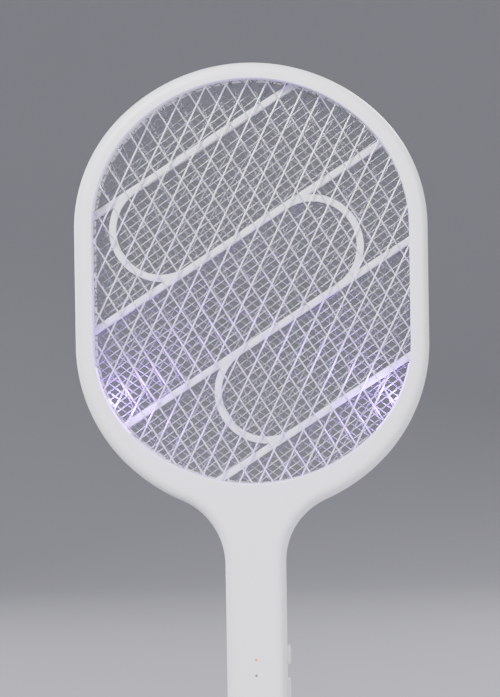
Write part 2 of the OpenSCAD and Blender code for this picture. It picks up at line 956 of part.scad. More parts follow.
module terminal(x, z) {
    difference() {
        union() {
            box(x - 2, x + 2, terminal_y0 + 2, open_low_y - rim_out - 0.02, z - 0.25, z + 0.25);
            post([x, terminal_y0 + 2], 2, z - 0.25, z + 0.25);
        }
        post([x, terminal_y0 + 2], 0.9, z - 1, z + 1);
    }
}

module hv_terminal() {
    color("gold") upright() terminal(-terminal_x, 0);
}

module ground_terminals() {
    color("gold")
        upright() {
            terminal(terminal_x, net_pitch);
            terminal(terminal_x, -net_pitch);
            box(terminal_x + 1.1, terminal_x + 1.9, terminal_y0 + 2, terminal_y0 + 2.8,
                -net_pitch, net_pitch);
        }
}

lead_r = 0.7;
pad_z = board_top + lead_r + 0.02;

module lead(points) {
    upright() tube(smooth(points), lead_r);
}

hv_route = [
    [-3, board_y1 - 5, pad_z], [-3, board_y1 + 1, -0.8], [-3, handle_l + 10, 0],
    [-6, handle_l + 24, 1.4], [-terminal_x, terminal_y0 + 2.4, 1]
];
ground_route = [
    [3, board_y1 - 5, pad_z], [3, board_y1 + 1, -0.4], [3, handle_l + 10, 1],
    [6, handle_l + 20, 4], [terminal_x, terminal_y0 - 1.6, net_pitch + 1],
    [terminal_x, terminal_y0 + 2.4, net_pitch + 1]
];
lamp_route = [
    [lead_x - 1.1, board_y1 - 6, pad_z], [lead_x - 0.6, board_y1 - 1, 0],
    [lead_x + 0.2, handle_l + 5, 3], [12, handle_l + 16, 7], [12, handle_l + 32, 9],
    [20, handle_l + 41, 9], [34, handle_l + 46.5, 9], [58, handle_l + 58, 9],
    [74, handle_l + 72, 9]
];

module hv_lead() {
    color("red") lead(hv_route);
}

module ground_lead() {
    color("black") lead(ground_route);
}

module right_lamp_lead() {
    color("purple") lead(lamp_route);
}

module left_lamp_lead() {
    color("purple") lead([for (p = lamp_route) [-p[0], p[1], p[2]]]);
}

module battery_positive_lead() {
    color("red")
        lead([[-2, cell_y1 + 1.6, 4], [-3, cell_y1 + 5, 3], [-3, board_y0 - 1, 0],
              [-4.5, board_y0 + 4, pad_z]]);
}

module battery_negative_lead() {
    color("black")
        lead([[-2, cell_y0 - 1, 5], [-7, cell_y0 - 1.8, 4.5], [-11, cell_y0 - 1, 3.8],
              [-lead_x, cell_y0 + 7, 3.5], [-lead_x, cell_y1 - 10, 3.5], [-lead_x, mid_screw_y, 2],
              [1.2 - lead_x, board_y0 + 4, pad_z]]);
}

module charge_leads() {
    color("orange")
        for (side = [0, 1])
            lead([[1.8 * side - 1, 12, -socket_h / 2 + lead_r + 0.02],
                  [1.8 * side - 1, 13.9, 2.5 + 1.5 * side],
                  [-3.5 + side / 2, cell_y0 - 2.1, 6.6 + 1.9 * side],
                  [-9.5, cell_y0 - 1.7, 6.8 + 1.9 * side],
                  [1.6 - lead_x + side / 2, cell_y0 + 3, 6.6 + 1.9 * side],
                  [1.6 - lead_x + side / 2, cell_y1 - 10, 6.6 + 1.9 * side],
                  [0.2 - lead_x + side / 5, mid_screw_y, 5.4 + 2 * side],
                  [3.2 - lead_x + 2 * side, board_y0 + 4, pad_z]]);
}

front_shell();
rear_shell();
front_chassis();
rear_chassis();
front_net();
hv_net();
rear_net();
front_rib_frame();
rear_rib_frame();
left_lamp_board();
right_lamp_board();
left_lamp_leds();
right_lamp_leds();
left_lamp_window();
right_lamp_window();
main_board();
transformer_core();
transformer_winding();
hv_capacitors();
hv_diodes();
bleed_resistor();
switching_transistor();
controller_chip();
indicator_leds();
indicator_pipes();
mode_switch_body();
mode_switch_lever();
mode_switch_knob();
trigger_switch();
trigger_plunger();
trigger_spring();
trigger_button();
battery_cell();
battery_tabs();
charge_board();
charge_socket();
shell_screws();
hv_terminal();
ground_terminals();
hv_lead();
ground_lead();
left_lamp_lead();
right_lamp_lead();
battery_positive_lead();
battery_negative_lead();
charge_leads();
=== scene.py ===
# Electric fly swatter: the looks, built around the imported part
import json
import math

import bpy
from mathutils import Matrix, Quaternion, Vector


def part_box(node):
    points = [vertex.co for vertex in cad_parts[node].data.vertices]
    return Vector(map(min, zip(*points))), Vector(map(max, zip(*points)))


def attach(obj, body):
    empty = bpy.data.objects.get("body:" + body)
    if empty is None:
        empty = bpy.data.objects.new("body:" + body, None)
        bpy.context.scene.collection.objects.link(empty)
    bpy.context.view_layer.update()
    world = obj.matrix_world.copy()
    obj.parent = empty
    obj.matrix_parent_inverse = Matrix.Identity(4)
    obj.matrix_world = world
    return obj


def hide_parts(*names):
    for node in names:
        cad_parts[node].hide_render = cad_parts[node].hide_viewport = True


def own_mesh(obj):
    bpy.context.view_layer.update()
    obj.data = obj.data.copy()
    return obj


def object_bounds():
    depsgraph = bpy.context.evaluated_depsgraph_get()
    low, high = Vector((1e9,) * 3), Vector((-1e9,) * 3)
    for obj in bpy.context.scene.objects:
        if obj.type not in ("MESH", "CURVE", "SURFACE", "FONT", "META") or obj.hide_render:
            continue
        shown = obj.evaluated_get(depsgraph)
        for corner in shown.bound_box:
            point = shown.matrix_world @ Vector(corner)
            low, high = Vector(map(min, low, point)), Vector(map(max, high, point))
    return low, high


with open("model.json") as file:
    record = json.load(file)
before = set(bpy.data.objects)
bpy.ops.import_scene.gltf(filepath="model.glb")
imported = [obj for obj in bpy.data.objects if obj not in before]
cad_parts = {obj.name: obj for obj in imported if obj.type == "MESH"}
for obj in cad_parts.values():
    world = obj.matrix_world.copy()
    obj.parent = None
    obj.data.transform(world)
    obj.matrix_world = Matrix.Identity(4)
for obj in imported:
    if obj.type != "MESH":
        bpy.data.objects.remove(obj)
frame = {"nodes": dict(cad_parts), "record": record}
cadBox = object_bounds()
nodes = frame["nodes"]
mm = 0.001
print("frame loaded:", len(nodes), "nodes")

camera = {
    "aim": (-0.0016, 0, 0.3203),
    "distance": 1.6,
    "lens": 138.5,
    "azimuth": 3,      # degrees towards +X
    "elevation": 0,
    "lean": 0.89,      # the racket leans left by this
}


def addCamera():
    turn = math.radians(camera["azimuth"])
    rise = math.radians(camera["elevation"])
    away = Vector((math.sin(turn) * math.cos(rise), -math.cos(turn) * math.cos(rise), math.sin(rise)))
    data = bpy.data.cameras.new("camera")
    data.lens = camera["lens"]
    data.sensor_width = 36
    data.clip_start = 0.02
    view = bpy.data.objects.new("camera", data)
    bpy.context.scene.collection.objects.link(view)
    view.location = Vector(camera["aim"]) + away * camera["distance"]
    view.rotation_mode = "QUATERNION"
    level = (-away).to_track_quat("-Z", "Y")
    roll = Quaternion((0, 0, 1), -math.radians(camera["lean"]))
    view.rotation_quaternion = level @ roll
    bpy.context.scene.camera = view


addCamera()


class Wire:    # a socket's output, to be used in sums
    def __init__(self, finish, socket):
        self.finish = finish
        self.socket = socket

    def maths(self, operation, first, second=0.0):
        return self.finish.add("ShaderNodeMath", {"operation": operation}, {0: first, 1: second})

    def __add__(self, other):
        return self.maths("ADD", self, other)

    def __radd__(self, other):
        return self.maths("ADD", other, self)

    def __sub__(self, other):
        return self.maths("SUBTRACT", self, other)

    def __rsub__(self, other):
        return self.maths("SUBTRACT", other, self)

    def __mul__(self, other):
        return self.maths("MULTIPLY", self, other)

    def __rmul__(self, other):
        return self.maths("MULTIPLY", other, self)

    def above(self, level):
        return self.maths("GREATER_THAN", self, level)


class Finish:
    def __init__(self, name):
        self.material = bpy.data.materials.new(name)
        self.material.use_nodes = True
        self.tree = self.material.node_tree
        self.shader = self.tree.nodes["Principled BSDF"]
        self.place = self.add("ShaderNodeTexCoord", output="Object")

    def add(self, kind, settings=None, values=None, output=0):
        node = self.tree.nodes.new(kind)
        for key, value in (settings or {}).items():
            if key == "stops":
                for stop, (at, colour) in zip(node.color_ramp.elements, value):
                    stop.position = at
                    stop.color = colour
            else:
                setattr(node, key, value)
        for key, value in (values or {}).items():
            self.give(node.inputs[key], value)
        return Wire(self, node.outputs[output])

    def give(self, socket, value):
        if isinstance(value, Wire):
            self.tree.links.new(value.socket, socket)
        else:
            socket.default_value = value

    def paint(self, **values):
        for key, value in values.items():
            self.give(self.shader.inputs[key.replace("_", " ")], value)
        return self.material

    def noise(self, size, detail=2.0, stretch=(1, 1, 1)):    # size in metres
        place = self.add("ShaderNodeMapping", {}, {"Vector": self.place, "Scale": stretch})
        return self.add("ShaderNodeTexNoise", {}, {"Vector": place, "Scale": 1 / size, "Detail": detail})

    def blend(self, mask, first, second):
        return self.add("ShaderNodeMix", {"data_type": "RGBA"}, {0: mask, 6: first, 7: second}, output=2)

    def bump(self, height, strength, depth):
        return self.add("ShaderNodeBump", {}, {"Height": height, "Strength": strength, "Distance": depth})

    def axes(self):
        split = self.tree.nodes.new("ShaderNodeSeparateXYZ")
        self.tree.links.new(self.place.socket, split.inputs[0])
        return [Wire(self, socket) for socket in split.outputs]


def rgb(red, green, blue):
    return (red, green, blue, 1)


def moulded(name, colour, shade, rough, grain=0.00045, depth=0.00002, coat=0.0):
    # moulded plastic: fine spark grain, faint flow marks, a little handling sheen
    f = Finish(name)
    cloud = f.noise(0.035, 3)
    spark = f.noise(grain, 2)
    colours = f.blend(cloud * 0.7, rgb(*colour), rgb(*shade))
    return f.paint(
        Base_Color=colours,
        Roughness=rough + 0.10 * cloud + 0.06 * spark,
        Coat_Weight=coat,
        Coat_Roughness=0.2,
        Normal=f.bump(spark, 0.35, depth),
    )


def metal(name, colour, shade, rough, streak=(1, 1, 1)):
    # drawn or stamped metal: fine streaks and uneven tarnish
    f = Finish(name)
    tarnish = f.noise(0.012, 3)
    draw = f.noise(2 * mm, 3, streak)
    return f.paint(
        Base_Color=f.blend(tarnish, rgb(*colour), rgb(*shade)),
        Metallic=1.0,
        Roughness=rough + 0.14 * draw,
        Normal=f.bump(draw, 0.2, 0.00001),
    )


def glossy(name, colour, shade, rough, size=0.004):
    # dipped, wrapped or sleeved parts: smooth and shiny with soft unevenness
    f = Finish(name)
    wave = f.noise(size, 2)
    return f.paint(
        Base_Color=f.blend(wave, rgb(*colour), rgb(*shade)),
        Roughness=rough + 0.12 * wave,
        Coat_Weight=0.3,
        Coat_Roughness=0.15,
        Normal=f.bump(wave, 0.25, 0.00004),
    )


def glowing(name, colour, glow, strength):
    # a lit lens: its glow varies over a soft random cloud
    f = Finish(name)
    cloud = f.noise(0.006, 2)
    return f.paint(
        Base_Color=f.blend(cloud, rgb(*colour), rgb(*glow)),
        Roughness=0.3 + 0.1 * cloud,
        Emission_Color=f.blend(cloud, rgb(*glow), rgb(*[0.6 * c for c in glow])),
        Emission_Strength=strength,
        Coat_Weight=0.5,
        Coat_Roughness=0.1,
    )


def circuitBoard():
    # green solder mask over tracks and copper pour, with bare pads
    f = Finish("circuitBoard")
    x, y, z = f.axes()
    tracks = f.add(
        "ShaderNodeTexBrick",
        {"offset": 0.37, "squash": 1.6, "squash_frequency": 3},
        {"Vector": f.add("ShaderNodeCombineXYZ", {}, {0: x, 1: z, 2: 0.0}), "Scale": 420.0,
         "Mortar Size": 0.09, "Mortar Smooth": 0.2, "Brick Width": 0.9, "Row Height": 0.42},
        output="Fac",
    )
    dots = f.add("ShaderNodeTexVoronoi", {"feature": "F1"}, {"Vector": f.place, "Scale": 520.0})
    pads = 1 - dots.above(0.22)
    mask = f.blend(tracks, rgb(0.005, 0.075, 0.03), rgb(0.012, 0.15, 0.06))
    return f.paint(
        Base_Color=f.blend(pads * 0.8, mask, rgb(0.72, 0.70, 0.62)),
        Metallic=pads * 0.8,
        Roughness=0.28 + 0.2 * f.noise(0.003),
        Normal=f.bump(tracks + pads, 0.4, 0.00003),
    )


def resistor():
    # tan body with four colour bands along x
    f = Finish("resistor")
    x = f.axes()[0]
    middle = sum(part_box("bleed_resistor"), Vector()) / 2
    colour = rgb(0.62, 0.47, 0.30)
    bands = [(-2.2, (0.30, 0.12, 0.03)), (-1.1, (0.01, 0.01, 0.01)), (0.0, (0.75, 0.55, 0.04)),
             (1.9, (0.55, 0.40, 0.12))]
    for at, band in bands:
        near = f.add("ShaderNodeMath", {"operation": "COMPARE"},
                     {0: x, 1: middle.x + at * mm, 2: 0.32 * mm})
        colour = f.blend(near, colour, rgb(*band))
    return f.paint(Base_Color=colour, Roughness=0.35 + 0.1 * f.noise(0.002),
                   Coat_Weight=0.2)


white = moulded("shellPlastic", (0.92, 0.90, 0.97), (0.88, 0.86, 0.935), 0.34)
ribWhite = moulded("ribPlastic", (0.78, 0.77, 0.83), (0.70, 0.69, 0.75), 0.42, grain=0.0003)
controlWhite = moulded("controlPlastic", (0.86, 0.855, 0.88), (0.80, 0.79, 0.83), 0.30,
                       grain=0.0003, coat=0.1)
brightWire = metal("brightWire", (0.97, 0.97, 1.0), (0.88, 0.88, 0.92), 0.30)
# painted shade: a darker copy of the bright net wire, so that the nets behind the front net look shaded
paintedShadeWire = metal("paintedShadeWire", (0.40, 0.40, 0.44), (0.26, 0.26, 0.30), 0.34)

slotFinish = {
    "shell_plastic": white,
    "rib_plastic": ribWhite,
    "control_plastic": controlWhite,
    "net_wire": brightWire,
    "circuit_board": circuitBoard(),
    "lamp_led": glowing("lampLed", (0.75, 0.70, 0.9), (0.45, 0.22, 1.0), 8.0),
    "lamp_window": glowing("lampWindow", (0.62, 0.42, 0.85), (0.46, 0.17, 1.0), 12.0),
    "ferrite": moulded("ferrite", (0.045, 0.045, 0.05), (0.08, 0.08, 0.085), 0.55, grain=0.0006),
    "winding": glossy("windingTape", (0.72, 0.50, 0.05), (0.55, 0.36, 0.03), 0.35),
    "capacitor_case": glossy("capacitorCase", (0.42, 0.035, 0.02), (0.30, 0.02, 0.012), 0.25),
    "black_component": moulded("blackEpoxy", (0.018, 0.018, 0.02), (0.035, 0.035, 0.038), 0.45),
    "resistor_body": resistor(),
    "indicator_led": glowing("indicatorLed", (0.9, 0.5, 0.4), (1.0, 0.06, 0.03), 3.0),
    "light_pipe": glossy("lightPipe", (0.62, 0.62, 0.66), (0.5, 0.5, 0.55), 0.12),
    "steel": metal("steel", (0.72, 0.72, 0.74), (0.56, 0.56, 0.58), 0.28, streak=(1, 1, 6)),
    "screw_steel": metal("screwSteel", (0.50, 0.50, 0.52), (0.30, 0.30, 0.32), 0.30),
    "cell_wrap": glossy("cellWrap", (0.015, 0.09, 0.42), (0.01, 0.06, 0.30), 0.22, size=0.012),
    "terminal_brass": metal("terminalBrass", (0.85, 0.62, 0.26), (0.65, 0.45, 0.16), 0.25),
    "red_lead": glossy("redLead", (0.55, 0.02, 0.015), (0.42, 0.012, 0.01), 0.4),
    "black_lead": glossy("blackLead", (0.015, 0.015, 0.017), (0.03, 0.03, 0.032), 0.4),
    "violet_lead": glossy("violetLead", (0.20, 0.05, 0.36), (0.14, 0.03, 0.28), 0.4),
    "orange_lead": glossy("orangeLead", (0.75, 0.22, 0.02), (0.60, 0.15, 0.015), 0.4),
}
# the middle and rear nets take the painted-shade copy of the wire
nodeFinish = {"hv_net": paintedShadeWire, "rear_net": paintedShadeWire}
print("finishes made:", len(slotFinish))


def startPiece(name, at):
    # one loose point, ready to be drawn out
    bpy.ops.object.select_all(action="DESELECT")
    bpy.ops.mesh.primitive_plane_add(size=mm, location=at)
    piece = bpy.context.object
    piece.name = name
    piece.data.name = name
    bpy.ops.object.transform_apply(location=True, rotation=True, scale=True)
    bpy.ops.object.mode_set(mode="EDIT")
    bpy.ops.mesh.select_mode(type="VERT")
    bpy.ops.mesh.select_all(action="SELECT")
    bpy.ops.mesh.merge(type="CENTER")
    return piece


def drawLine(step):
    bpy.ops.mesh.extrude_region_move(TRANSFORM_OT_translate={"value": step})


def turn(centre, degrees, steps, axis=(0, 1, 0)):
    bpy.ops.mesh.spin(steps=steps, angle=math.radians(degrees), center=centre, axis=axis)


def endPiece(piece, angle=32):
    bpy.ops.mesh.select_all(action="SELECT")
    bpy.ops.mesh.remove_doubles(threshold=0.00001)
    bpy.ops.mesh.select_all(action="SELECT")
    bpy.ops.mesh.normals_make_consistent(inside=False)
    bpy.ops.object.mode_set(mode="OBJECT")
    smooth(piece, angle)


def smooth(piece, angle=32):
    bpy.ops.object.select_all(action="DESELECT")
    piece.select_set(True)
    bpy.context.view_layer.objects.active = piece
    bpy.ops.object.shade_smooth_by_angle(angle=math.radians(angle))


def applied(piece, kind, **settings):
    modifier = piece.modifiers.new(kind.lower(), kind)
    for key, value in settings.items():
        setattr(modifier, key, value)
    bpy.ops.object.select_all(action="DESELECT")
    piece.select_set(True)
    bpy.context.view_layer.objects.active = piece
    bpy.ops.object.modifier_apply(modifier=modifier.name)


def cut(piece, tools, operation="DIFFERENCE"):
    for tool in tools:
        applied(piece, "BOOLEAN", object=tool, operation=operation, solver="EXACT")
        bpy.data.objects.remove(tool)


def joined(parts):
    # every part becomes one object, the last of them
    bpy.ops.object.select_all(action="DESELECT")
    for part in parts:
        part.select_set(True)
    bpy.context.view_layer.objects.active = parts[-1]
    bpy.ops.object.join()
    return parts[-1]


def rod(name, centre, radius, length):
    # a round bar from front to back
    bpy.ops.object.select_all(action="DESELECT")
    bpy.ops.mesh.primitive_cylinder_add(vertices=48, radius=radius, depth=length, location=centre,
                                        rotation=(math.pi / 2, 0, 0))
    piece = bpy.context.object
    piece.name = name
    bpy.ops.object.transform_apply(location=True, rotation=True, scale=True)
    return piece


def block(name, centre, size, turned=0.0):
    bpy.ops.object.select_all(action="DESELECT")
    bpy.ops.mesh.primitive_cube_add(size=1, location=centre, rotation=(0, turned, 0))
    piece = bpy.context.object
    piece.name = name
    piece.scale = size
    bpy.ops.object.transform_apply(location=True, rotation=True, scale=True)
    return piece


def pill(name, centre, size, out="X"):
    # a block whose edges along "out" are rounded right over
    piece = block(name, centre, size)
    index = {"X": 0, "Y": 1, "Z": 2}[out]
    narrow = min(size[i] for i in range(3) if i != index)
    bpy.ops.object.mode_set(mode="EDIT")
    bpy.ops.mesh.select_mode(type="EDGE")
    bpy.ops.mesh.select_all(action="DESELECT")
    bpy.ops.object.mode_set(mode="OBJECT")
    for edge in piece.data.edges:
        a, b = [piece.data.vertices[i].co for i in edge.vertices]
        edge.select = abs((b - a)[index]) > 0.9 * (b - a).length
    bpy.ops.object.mode_set(mode="EDIT")
    bpy.ops.mesh.bevel(offset=0.4999 * narrow, segments=14)
    bpy.ops.object.mode_set(mode="OBJECT")
    return piece


def finishPiece(piece, body, finish, slot, *stands):
    piece.data.materials.clear()
    piece.data.materials.append(finish)
    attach(piece, body)
    if stands:
        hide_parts(*stands)
    return piece


# the outline that the shells and the rib frames share
low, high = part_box("front_shell")
halfWidth = high.x
halfDepth = -low.y
outline = {
    "handleHalf": 17.7 * mm,
    "handleLength": 192 * mm,
    "endRadius": 10 * mm,
    "neckRadius": 42 * mm,
    "lowHeight": 101.4 * mm,
    "sideHeight": 69.2 * mm,
    "topHeight": 97.8 * mm,
    "openHalf": 94.3 * mm,
    "openLow": 83 * mm,
    "openTop": 88.3 * mm,
    "steps": 26,       # per 45 degrees of the ring
}


def cornerRadius(half, height):
    return half - (half - height) / (math.sqrt(2) - 1) * math.sin(math.pi / 4)


def crownRadius(half, height):
    return cornerRadius(half, height) + (half - height) / (math.sqrt(2) - 1)


lowCorner = cornerRadius(halfWidth, outline["lowHeight"])
lowCrown = crownRadius(halfWidth, outline["lowHeight"])
topCorner = cornerRadius(halfWidth, outline["topHeight"])
topCrown = crownRadius(halfWidth, outline["topHeight"])
flareX = outline["handleHalf"] + outline["neckRadius"]
lowCrownZ = outline["handleLength"] + math.sqrt((outline["neckRadius"] + lowCrown) ** 2 - flareX ** 2)
flareTurn = math.degrees(math.atan2(outline["handleLength"] - lowCrownZ, flareX))
sideLow = lowCrownZ + outline["lowHeight"] - lowCrown
sideHigh = sideLow + outline["sideHeight"]
middleZ = (sideLow + sideHigh) / 2
openLowZ = sideLow - outline["openLow"]
openTopZ = sideHigh + outline["openTop"]


def sweepOutline():
    # the selected section goes round the right half, from the end of the handle to the top
    steps = outline["steps"]
    end = outline["endRadius"]
    drawLine((outline["handleHalf"] - end, 0, 0))
    turn((outline["handleHalf"] - end, 0, end), 90, 14)
    drawLine((0, 0, outline["handleLength"] - end))
    turn((flareX, 0, outline["handleLength"]), flareTurn, 24)
    turn((0, 0, lowCrownZ), -45 - flareTurn, steps // 2)
    turn((halfWidth - lowCorner, 0, sideLow), 45, steps)
    drawLine((0, 0, outline["sideHeight"]))
    turn((halfWidth - topCorner, 0, sideHigh), 45, steps)
    turn((0, 0, sideHigh + outline["topHeight"] - topCrown), 45, steps)


def sweepOpening():
    # the same round the right half of the opening
    steps = outline["steps"]
    half = outline["openHalf"]
    corner = cornerRadius(half, outline["openLow"])
    crown = crownRadius(half, outline["openLow"])
    turn((0, 0, openLowZ + crown), 45, steps)
    turn((half - corner, 0, sideLow), 45, steps)
    drawLine((0, 0, outline["sideHeight"]))
    corner = cornerRadius(half, outline["openTop"])
    crown = crownRadius(half, outline["openTop"])
    turn((half - corner, 0, sideHigh), 45, steps)
    turn((0, 0, openTopZ - crown), 45, steps)


shell = {
    "edge": 7 * mm,          # radius of the rolled outer edge
    "wall": 2.2 * mm,
    "lip": 1.6 * mm,
    "lipEnd": 6.0 * mm,      # depth of the lip's end from the parting plane
    "land": 0.6 * mm,        # narrow flat strip next to each roll
    "seam": 0.25 * mm,       # chamfer at the parting line
    "crisp": 0.35 * mm,      # radius of the opening's front edge
}


def bandSection(side):
    # the shell's wall at the end of the handle: from the outer land round the roll and back inside
    edge, wall, land, seam = shell["edge"], shell["wall"], shell["land"], shell["seam"]
    drawLine((0, 0, -land))
    turn((0, side * (halfDepth - edge), edge), 90 * side, 10, (1, 0, 0))
    drawLine((0, -side * (halfDepth - edge - seam), 0))
    drawLine((0, -side * seam, seam))
    drawLine((0, 0, wall - seam))
    drawLine((0, side * (halfDepth - edge), 0))
    turn((0, side * (halfDepth - edge), edge), -90 * side, 6, (1, 0, 0))
    drawLine((0, 0, land))


def lipSection(side):
    crisp, lip, land, wall = shell["crisp"], shell["lip"], shell["land"], shell["wall"]
    drawLine((0, 0, land))
    turn((0, side * (halfDepth - crisp), openLowZ - crisp), -90 * side, 5, (1, 0, 0))
    drawLine((0, -side * (halfDepth - crisp - shell["lipEnd"]), 0))
    drawLine((0, 0, -lip))
    drawLine((0, side * (halfDepth - wall - shell["lipEnd"]), 0))
    drawLine((0, 0, -land))


def sweptHalf(name, start, side, section, sweep):
    piece = startPiece(name, start)
    section(side)
    bpy.ops.mesh.select_all(action="SELECT")
    bpy.ops.mesh.select_mode(type="EDGE")
    bpy.ops.mesh.select_all(action="SELECT")
    sweep()
    bpy.ops.object.mode_set(mode="OBJECT")
    applied(piece, "MIRROR", use_axis=(True, False, False), merge_threshold=0.00002)
    return piece


def fillPlate(piece, depth):
    # closes the flat plate between the outer band and the opening
    bpy.ops.object.mode_set(mode="EDIT")
    bpy.ops.mesh.select_mode(type="EDGE")
    bpy.ops.mesh.select_all(action="DESELECT")
    bpy.ops.mesh.select_non_manifold(extend=False, use_wire=True, use_boundary=True,
                                     use_multi_face=False, use_non_contiguous=False, use_verts=False)
    bpy.ops.object.mode_set(mode="OBJECT")
    for edge in piece.data.edges:
        ends = [piece.data.vertices[i].co.y for i in edge.vertices]
        edge.select = edge.select and all(abs(y - depth) < 0.00005 for y in ends)
    bpy.ops.object.mode_set(mode="EDIT")
    bpy.ops.mesh.fill(use_beauty=True)
    bpy.ops.object.mode_set(mode="OBJECT")


def shellBody(name, side):
    bandStart = (0, side * halfDepth, shell["edge"] + shell["land"])
    lipStart = (0, side * halfDepth, openLowZ - shell["crisp"] - shell["land"])
    band = sweptHalf(name, bandStart, side, bandSection, sweepOutline)
    lip = sweptHalf("lip", lipStart, side, lipSection, sweepOpening)
    joined([lip, band])
    fillPlate(band, side * halfDepth)
    fillPlate(band, side * (halfDepth - shell["wall"]))
    bpy.ops.object.mode_set(mode="EDIT")
    endPiece(band)
    return band


controls = {
    "width": 6.6 * mm,
    "knobZ": (131.65 * mm, 143.35 * mm),
    "buttonZ": (101.5 * mm, 123.7 * mm),
    "travel": 4 * mm,        # of the knob
    "press": 1.2 * mm,       # of the trigger
    "gap": 0.3 * mm,         # around each control in its window
    "proud": 2 * mm,
    "flange": 1.4 * mm,      # thickness of the flange behind each window
    "softRim": 0.7 * mm,
    "ridge": 1.0 * mm,
    "ridgePitch": 2.4 * mm,
    "ridgeInset": 1.4 * mm,  # from the knob's edges to the ends of its ridges
}


def windowTool(low, high):
    wide = controls["width"] + 2 * controls["gap"]
    tall = high - low + 2 * controls["gap"]
    centre = (outline["handleHalf"], 0, (low + high) / 2)
    return pill("window", centre, (8 * mm, wide, tall))


holes = {
    "cord": (-7.5 * mm, 0, 10.6 * mm),
    "cordRadius": 1.6 * mm,
    "socket": (9.1 * mm, 3.3 * mm, 8 * mm),
    "screwRadius": 2.3 * mm,
    "screwDeep": 8 * mm,
}
indicators = {
    "z": (136.0 * mm, 126.7 * mm),
    "tip": 0.8 * mm,         # radius in the shell's hole
    "pipe": 1.6 * mm,        # radius behind it
    "proud": 0.35 * mm,
    "fit": 0.05 * mm,
}


def commonTools():
    knob = controls["knobZ"]
    socket = sum(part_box("charge_socket"), Vector()) / 2
    return [
        windowTool(knob[0], knob[1] + controls["travel"]),
        windowTool(*controls["buttonZ"]),
        pill("slot", (socket.x, 0, 0), holes["socket"], out="Z"),
        rod("cordHole", holes["cord"], holes["cordRadius"], 4 * halfDepth),
    ]


# x and z of each screw, in millimetres
screwPlaces = [(7.7, 13.4), (-7.7, 88), (7.7, 88), (-7.7, 197), (7.7, 197), (-17.3, 222), (17.3, 222)]
lamps = {
    "centre": Vector((19.3 * mm, 0, sideLow)),
    "radius": 75 * mm,
    "from": -44,
    "to": -10,
    "depth": (7.1 * mm, 11.2 * mm),
    "grow": 0.1,             # past the window, in degrees and in millimetres
}


def lampSlot(left):
    # the curved slot along the lamp's arc, drawn on the right
    centre = lamps["centre"]
    grow = lamps["grow"]
    inner = lamps["radius"] - 2 * mm
    outer = lamps["radius"] + shell["lip"] + 1.4 * mm
    front = lamps["depth"][1] + grow * mm
    rear = lamps["depth"][0] - grow * mm
    piece = startPiece("lampSlot", (centre.x + inner, -front, centre.z))
    drawLine((outer - inner, 0, 0))
    drawLine((0, front - rear, 0))
    drawLine((inner - outer, 0, 0))
    drawLine((0, rear - front, 0))
    bpy.ops.mesh.select_all(action="SELECT")
    bpy.ops.mesh.remove_doubles(threshold=0.00001)
    bpy.ops.mesh.select_all(action="SELECT")
    bpy.ops.transform.rotate(value=math.radians(grow - lamps["from"]), orient_axis="Y",
                             center_override=centre)
    bpy.ops.mesh.select_mode(type="EDGE")
    bpy.ops.mesh.edge_face_add()
    bpy.ops.mesh.select_mode(type="FACE")
    bpy.ops.mesh.select_all(action="SELECT")
    turn(centre, lamps["to"] - lamps["from"] + 2 * grow, 24)
    bpy.ops.mesh.select_all(action="SELECT")
    if left:
        bpy.ops.transform.resize(value=(-1, 1, 1), center_override=(0, 0, 0))
    endPiece(piece)
    return piece


def frontShell():
    piece = shellBody("front_cover", -1)
    tools = commonTools()
    for z in indicators["z"]:
        loose = indicators["tip"] + indicators["fit"]
        tools.append(rod("pipeHole", (0, -halfDepth, z), loose, 10 * mm))
    for left in (False, True):
        tools.append(lampSlot(left))
    cut(piece, tools)
    smooth(piece)
    return finishPiece(piece, "swatter", white, "shell_plastic", "front_shell")


def rearShell():
    piece = shellBody("rear_cover", 1)
    tools = commonTools()
    for x, z in screwPlaces:
        place = (x * mm, halfDepth, z * mm)
        tools.append(rod("screwHole", place, holes["screwRadius"], holes["screwDeep"]))
    cut(piece, tools)
    smooth(piece)
    return finishPiece(piece, "swatter", white, "shell_plastic", "rear_shell")


frontShell()
rearShell()
print("shells made")

ribs = {
    "width": 4 * mm,
    "near": 1.0 * mm,
    "far": 4.0 * mm,
    "angle": 32.3,
    "pitch": 57.6 * mm,
    "round": 0.7 * mm,
    "ring": 6 * mm,
    "turns": [(-27 * mm, -1), (43 * mm, 0), (-27 * mm, 1)],
}


def ribPoint(along, across):
    # a place on the rib plan, turned to the ribs' angle about the middle of the opening
    a = math.radians(ribs["angle"])
    return Vector((along * math.cos(a) - across * math.sin(a), 0,
                   middleZ + along * math.sin(a) + across * math.cos(a)))


def ribEnd(across, way):
    # how far along a rib the opening's edge is
    step = 0.5 * mm
    along = 0.0
    reach = 2 * mm
    while along < 0.25:
        p = ribPoint(way * along, across)
        cap = outline["openTop"] if p.z > middleZ else outline["openLow"]
        away = max(0, p.z - sideHigh, sideLow - p.z)
        if (p.x / (outline["openHalf"] + reach)) ** 2 + (away / (cap + reach)) ** 2 > 1:
            break
        along += step
    return along


def roundEdges(piece, width, segments=3):
    applied(piece, "BEVEL", width=width, segments=segments, limit_method="ANGLE",
            angle_limit=math.radians(50))


def ribFrame(name, side, withTurns, stands):
    y = side * (ribs["near"] + ribs["far"]) / 2
    thick = ribs["far"] - ribs["near"]
    parts = []
    for row in (-1.5, -0.5, 0.5, 1.5):
        across = row * ribs["pitch"]
        ahead = ribEnd(across, 1)
        behind = ribEnd(across, -1)
        centre = ribPoint((ahead - behind) / 2, across)
        bar = block("bar", (centre.x, y, centre.z), (ahead + behind, thick, ribs["width"]),
                    -math.radians(ribs["angle"]))
        roundEdges(bar, ribs["round"])
        parts.append(bar)
    for place, row in (ribs["turns"] if withTurns else []):
        parts.append(uTurn(place, row, y, thick))
    parts.append(ribRing(side))
    piece = joined(parts)
    piece.name = name
    smooth(piece, 40)
    return finishPiece(piece, "swatter", ribWhite, "rib_plastic", stands)


